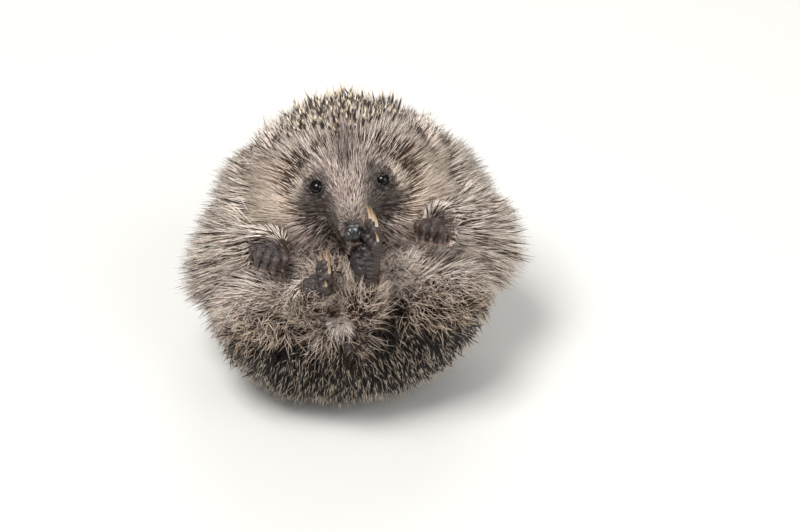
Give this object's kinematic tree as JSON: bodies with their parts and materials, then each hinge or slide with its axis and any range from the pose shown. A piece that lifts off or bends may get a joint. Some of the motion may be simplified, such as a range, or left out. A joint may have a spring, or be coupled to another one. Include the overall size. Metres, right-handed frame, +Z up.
{
  "type": "hedgehog",
  "caption": "Life-size still model of a young European hedgehog lying half rolled up on its spined back, face, paws and furry belly turned up.",
  "frame": {"origin": "on the resting surface, under the middle of the outline", "axes": "+Z up; -Y towards the side that the face and belly are turned to; +X towards the animal's left"},
  "size_m": [0.1434, 0.1227, 0.1112],
  "materials": {
    "spines": "banded cream and dark brown keratin spines and long flank hair, satin",
    "face_fur": "short coarse grey-brown fur with a darker mask round the eyes",
    "belly_fur": "tousled crinkly pale grey-buff hair over a dark brown undercoat",
    "skin": "bare, finely wrinkled grey-brown skin",
    "nose": "moist pebbled black skin",
    "eye": "wet, black and highly polished",
    "claw": "translucent amber horn, satin"
  },
  "bodies": {
    "root": {"eye_left": "eye", "eye_right": "eye", "nose": "nose", "hindfoot_left_claw_1": "claw", "hindfoot_left_claw_2": "claw", "hindfoot_left_claw_3": "claw", "hindfoot_left_claw_4": "claw", "hindfoot_left_claw_5": "claw", "hindfoot_right_claw_1": "claw", "hindfoot_right_claw_2": "claw", "hindfoot_right_claw_3": "claw", "hindfoot_right_claw_4": "claw", "hindfoot_right_claw_5": "claw", "forepaw_left_claw_1": "claw", "forepaw_left_claw_2": "claw", "forepaw_left_claw_3": "claw", "forepaw_left_claw_4": "claw", "forepaw_left_claw_5": "claw", "forepaw_right_claw_1": "claw", "forepaw_right_claw_2": "claw", "forepaw_right_claw_3": "claw", "forepaw_right_claw_4": "claw", "forepaw_right_claw_5": "claw", "hindfoot_left": "skin", "hindfoot_right": "skin", "forepaw_left": "skin", "forepaw_right": "skin", "ear_left": "skin", "ear_right": "skin", "tail": "skin", "jaw": "face_fur", "head": "face_fur", "foreleg_left": "belly_fur", "hindleg_left": "belly_fur", "foreleg_right": "belly_fur", "hindleg_right": "belly_fur", "belly": "belly_fur", "back": "spines"}
  },
  "joints": []
}
